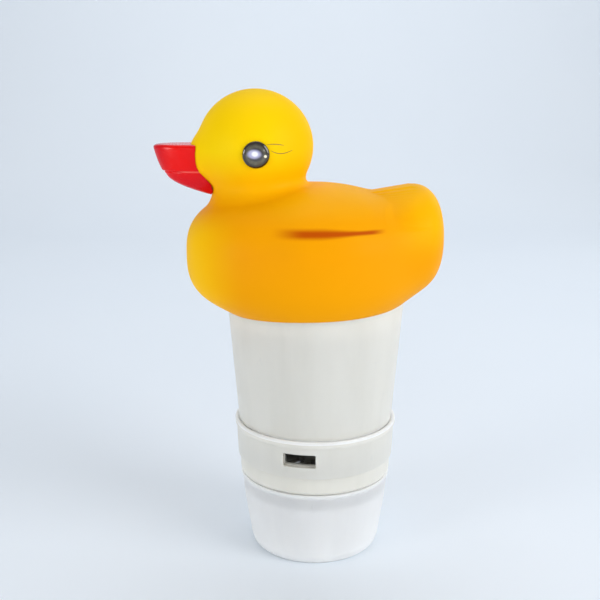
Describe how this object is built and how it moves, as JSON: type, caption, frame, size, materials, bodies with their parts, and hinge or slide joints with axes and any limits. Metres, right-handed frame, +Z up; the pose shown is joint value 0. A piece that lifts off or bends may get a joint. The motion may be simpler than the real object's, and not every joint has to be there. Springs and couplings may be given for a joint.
{
  "type": "floating chlorine dispenser",
  "caption": "Hollow toy-duck float that screws onto a tapered tablet canister with a rotating slotted flow collar and a weighted base cup.",
  "frame": {"origin": "centre of the flat underside of the base cup, on the canister's axis", "axes": "+Z up along the canister's axis, the duck faces -X, +Y is the duck's right flank when seen from behind its tail"},
  "size_m": [0.135, 0.1024, 0.2236],
  "materials": {
    "duck_vinyl": "smooth satin vinyl, yellow head shading to orange at the belly",
    "bill_vinyl": "glossy red vinyl",
    "eye_gloss": "gloss, dark rim and grey iris with a white glint",
    "white_plastic": "satin white moulded polypropylene",
    "seal_rubber": "matt black rubber",
    "screw_steel": "stainless",
    "ballast_steel": "plain steel"
  },
  "bodies": {
    "canister_body": {"canister": "white_plastic", "base_cup": "white_plastic", "tablet_grate": "white_plastic", "ballast": "ballast_steel", "ballast_cover": "white_plastic", "ballast_seal": "seal_rubber", "ballast_screw": "screw_steel"},
    "collar": {"flow_collar": "white_plastic"},
    "lid_lift_ring": {"lid_seal": "seal_rubber"},
    "duck_lid": {"duck_shell": "duck_vinyl", "duck_bill": "bill_vinyl", "eye_left": "eye_gloss", "eye_right": "eye_gloss", "clamp_plate": "white_plastic", "duck_gasket": "seal_rubber", "lid": "white_plastic", "lid_screw_1": "screw_steel", "lid_screw_2": "screw_steel", "lid_screw_3": "screw_steel", "lid_screw_4": "screw_steel"}
  },
  "joints": [
    {"name": "collar_turn", "type": "hinge", "parent": "canister_body", "child": "collar", "pos_m": [0, 0, 0.0564], "axis": [0, 0, 1], "range_deg": [0, 35]},
    {"name": "lid_lift", "type": "slide", "parent": "canister_body", "child": "lid_lift_ring", "axis": [0, 0, 1], "range_m": [0, 0.008]},
    {"name": "duck_twist", "type": "hinge", "parent": "lid_lift_ring", "child": "duck_lid", "pos_m": [0, 0, 0.1305], "axis": [0, 0, 1], "range_deg": [0, 360]}
  ],
  "couplings": [
    {"joint": "lid_lift", "follows": "duck_twist", "m_per_rad": 0.0012732}
  ]
}
